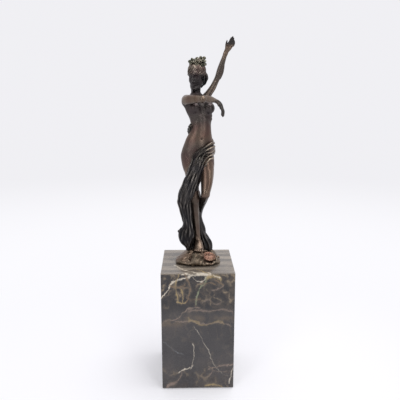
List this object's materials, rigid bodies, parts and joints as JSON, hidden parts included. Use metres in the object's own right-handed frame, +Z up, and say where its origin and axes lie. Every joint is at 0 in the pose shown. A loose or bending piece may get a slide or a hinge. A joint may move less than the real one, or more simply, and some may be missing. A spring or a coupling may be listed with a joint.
{
  "type": "bronze statuette",
  "caption": "Cast bronze figure of a standing dancer in a fallen drape, one arm raised, on a rock mound bolted to a tall square marble plinth.",
  "frame": {"origin": "middle of the felt's underside, on the surface that the plinth stands on", "axes": "+Z up along the plinth and the figure, +Y to the back of the figure, +X to the right as seen from the front, the side of the raised arm"},
  "size_m": [0.08, 0.08, 0.3842],
  "materials": {
    "brown_bronze": "satin",
    "dark_bronze": "satin",
    "gold_bronze": "satin",
    "red_copper": "satin",
    "dark_marble": "polished",
    "zinc_steel": "satin",
    "brass_pin": "satin",
    "black_felt": "matte"
  },
  "bodies": {
    "root": {"marble_plinth": "dark_marble", "felt_sheet": "black_felt", "fixing_rod": "zinc_steel", "fixing_washer": "zinc_steel", "spring_washer": "zinc_steel", "fixing_nut": "zinc_steel", "bronze_base": "brown_bronze", "foundry_seal": "red_copper", "torso": "brown_bronze", "head": "brown_bronze", "hair_updo": "gold_bronze", "flower_wreath": "gold_bronze", "raised_arm": "brown_bronze", "folded_arm": "brown_bronze", "standing_leg": "brown_bronze", "bent_leg": "brown_bronze", "hip_wrap": "dark_bronze", "front_fall": "dark_bronze", "back_sash": "dark_bronze", "back_fall": "dark_bronze", "neck_pin": "brass_pin", "raised_arm_pin": "brass_pin", "folded_arm_pin": "brass_pin", "standing_hip_pin": "brass_pin", "bent_hip_pin": "brass_pin", "foot_pin": "brass_pin", "toe_pin": "brass_pin"}
  },
  "joints": []
}
